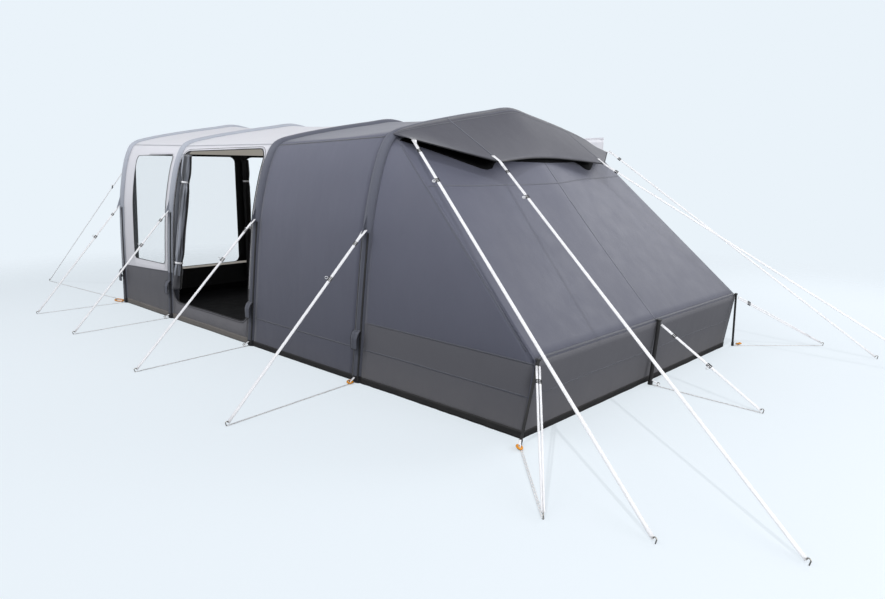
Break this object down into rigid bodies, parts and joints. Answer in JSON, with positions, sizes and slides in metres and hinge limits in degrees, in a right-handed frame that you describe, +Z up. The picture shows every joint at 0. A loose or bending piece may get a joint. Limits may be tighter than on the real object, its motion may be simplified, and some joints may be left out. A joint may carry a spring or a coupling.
{
  "type": "inflatable drive-away awning",
  "caption": "Air-beam tunnel awning with open side door, clear windows, sloped bedroom end with a hood, connection tunnel, rear poles and webbing guys.",
  "frame": {"origin": "on the ground under the middle of the groundsheet", "axes": "+X towards the sloping bedroom end, -Y the side with the open door, +Y the vehicle's side, +Z up"},
  "size_m": [9.968, 5.6705, 2.1523],
  "materials": {
    "grey_fabric": "matt coated polyester",
    "dark_fabric": "matt coated polyester",
    "clear_film": "clear flexible film",
    "groundsheet": "coated sheet",
    "bladder": "smooth polyurethane film",
    "webbing": "woven webbing",
    "black_plastic": "moulded",
    "black_pole": "powder coat"
  },
  "bodies": {
    "tent": {"air_tube_a": "bladder", "air_tube_b": "bladder", "air_tube_c": "bladder", "air_tube_d": "bladder", "bay_1_fly": "grey_fabric", "bay_1_near_wall": "grey_fabric", "bay_2_fly": "grey_fabric", "bay_2_near_wall": "grey_fabric", "bay_3_fly": "dark_fabric", "bay_3_near_wall": "dark_fabric", "beam_sleeve_a": "grey_fabric", "beam_sleeve_b": "grey_fabric", "beam_sleeve_c": "dark_fabric", "beam_sleeve_d": "dark_fabric", "connection_tunnel": "grey_fabric", "front_door_roll": "grey_fabric", "front_wall": "grey_fabric", "front_window": "clear_film", "groundsheet": "groundsheet", "guy_beam_a": "webbing", "guy_beam_b": "webbing", "guy_beam_c": "webbing", "guy_beam_d": "webbing", "guy_front_corner": "webbing", "guy_hood_far_inner": "webbing", "guy_hood_far_outer": "webbing", "guy_hood_near_inner": "webbing", "guy_hood_near_outer": "webbing", "guy_rear_far": "webbing", "guy_rear_middle": "webbing", "guy_rear_near": "webbing", "near_door_roll": "grey_fabric", "near_window": "clear_film", "rear_far_side": "dark_fabric", "rear_hood": "dark_fabric", "rear_low_wall": "dark_fabric", "rear_near_side": "dark_fabric", "rear_pole_far": "black_pole", "rear_pole_middle": "black_pole", "rear_pole_near": "black_pole", "rear_slope": "dark_fabric", "vehicle_bead_strip": "grey_fabric"},
    "valve_cap_a": {"valve_cap_a": "black_plastic"},
    "valve_flap_a": {"valve_flap_a": "dark_fabric"},
    "valve_cap_b": {"valve_cap_b": "black_plastic"},
    "valve_flap_b": {"valve_flap_b": "dark_fabric"},
    "valve_cap_c": {"valve_cap_c": "black_plastic"},
    "valve_flap_c": {"valve_flap_c": "dark_fabric"},
    "valve_cap_d": {"valve_cap_d": "black_plastic"},
    "valve_flap_d": {"valve_flap_d": "dark_fabric"},
    "door_zip_slider": {"door_zip_slider": "black_plastic"},
    "front_zip_slider": {"front_zip_slider": "black_plastic"},
    "runner_beam_a": {"runner_beam_a": "black_plastic"},
    "runner_beam_b": {"runner_beam_b": "black_plastic"},
    "runner_beam_c": {"runner_beam_c": "black_plastic"},
    "runner_beam_d": {"runner_beam_d": "black_plastic"},
    "runner_front_corner": {"runner_front_corner": "black_plastic"},
    "runner_hood_near_inner": {"runner_hood_near_inner": "black_plastic"},
    "runner_hood_near_outer": {"runner_hood_near_outer": "black_plastic"},
    "runner_rear_middle": {"runner_rear_middle": "black_plastic"}
  },
  "joints": [
    {"name": "valve_cap_a_turn", "type": "hinge", "parent": "tent", "child": "valve_cap_a", "pos_m": [-2.97219, -1.54837, 0.33], "axis": [0, -1, 0], "range_deg": [0, 120]},
    {"name": "valve_flap_a_lift", "type": "hinge", "parent": "tent", "child": "valve_flap_a", "pos_m": [-2.97101, -1.52811, 0.412], "axis": [-1, 0, 0], "range_deg": [0, 100]},
    {"name": "valve_cap_b_turn", "type": "hinge", "parent": "tent", "child": "valve_cap_b", "pos_m": [-1.73265, -1.54814, 0.33], "axis": [0, -1, 0], "range_deg": [0, 120]},
    {"name": "valve_flap_b_lift", "type": "hinge", "parent": "tent", "child": "valve_flap_b", "pos_m": [-1.72639, -1.52783, 0.412], "axis": [-1, 0, 0], "range_deg": [0, 100]},
    {"name": "valve_cap_c_turn", "type": "hinge", "parent": "tent", "child": "valve_cap_c", "pos_m": [-0.07378, -1.54797, 0.33], "axis": [0, -1, 0], "range_deg": [0, 120]},
    {"name": "valve_flap_c_lift", "type": "hinge", "parent": "tent", "child": "valve_flap_c", "pos_m": [-0.06361, -1.52761, 0.412], "axis": [-1, 0, 0], "range_deg": [0, 100]},
    {"name": "valve_cap_d_turn", "type": "hinge", "parent": "tent", "child": "valve_cap_d", "pos_m": [1.45022, -1.5481, 0.33], "axis": [0, -1, 0], "range_deg": [0, 120]},
    {"name": "valve_flap_d_lift", "type": "hinge", "parent": "tent", "child": "valve_flap_d", "pos_m": [1.45827, -1.52777, 0.412], "axis": [-1, 0, 0], "range_deg": [0, 100]},
    {"name": "door_zip_run", "type": "slide", "parent": "tent", "child": "door_zip_slider", "axis": [0.123, 0.0346, 0.9918], "range_m": [0, 0.85]},
    {"name": "front_zip_run", "type": "slide", "parent": "tent", "child": "front_zip_slider", "axis": [0.0144, 0, 0.9999], "range_m": [0, 1.3]},
    {"name": "runner_beam_a_slide", "type": "slide", "parent": "tent", "child": "runner_beam_a", "axis": [-0.0068, -0.6456, -0.7637], "range_m": [-0.15, 0.25]},
    {"name": "runner_beam_b_slide", "type": "slide", "parent": "tent", "child": "runner_beam_b", "axis": [-0.0159, -0.6606, -0.7506], "range_m": [-0.15, 0.25]},
    {"name": "runner_beam_c_slide", "type": "slide", "parent": "tent", "child": "runner_beam_c", "axis": [-0.0318, -0.6887, -0.7244], "range_m": [-0.15, 0.25]},
    {"name": "runner_beam_d_slide", "type": "slide", "parent": "tent", "child": "runner_beam_d", "axis": [0.0042, -0.7074, -0.7068], "range_m": [-0.15, 0.25]},
    {"name": "runner_front_corner_slide", "type": "slide", "parent": "tent", "child": "runner_front_corner", "axis": [-0.8179, -0.1098, -0.5648], "range_m": [-0.15, 0.25]},
    {"name": "runner_hood_near_inner_slide", "type": "slide", "parent": "tent", "child": "runner_hood_near_inner", "axis": [0.7928, -0.3241, -0.5161], "range_m": [-0.15, 0.25]},
    {"name": "runner_hood_near_outer_slide", "type": "slide", "parent": "tent", "child": "runner_hood_near_outer", "axis": [0.7634, -0.2396, -0.5999], "range_m": [-0.15, 0.25]},
    {"name": "runner_rear_middle_slide", "type": "slide", "parent": "tent", "child": "runner_rear_middle", "axis": [0.8574, -0.0458, -0.5126], "range_m": [-0.15, 0.25]}
  ]
}
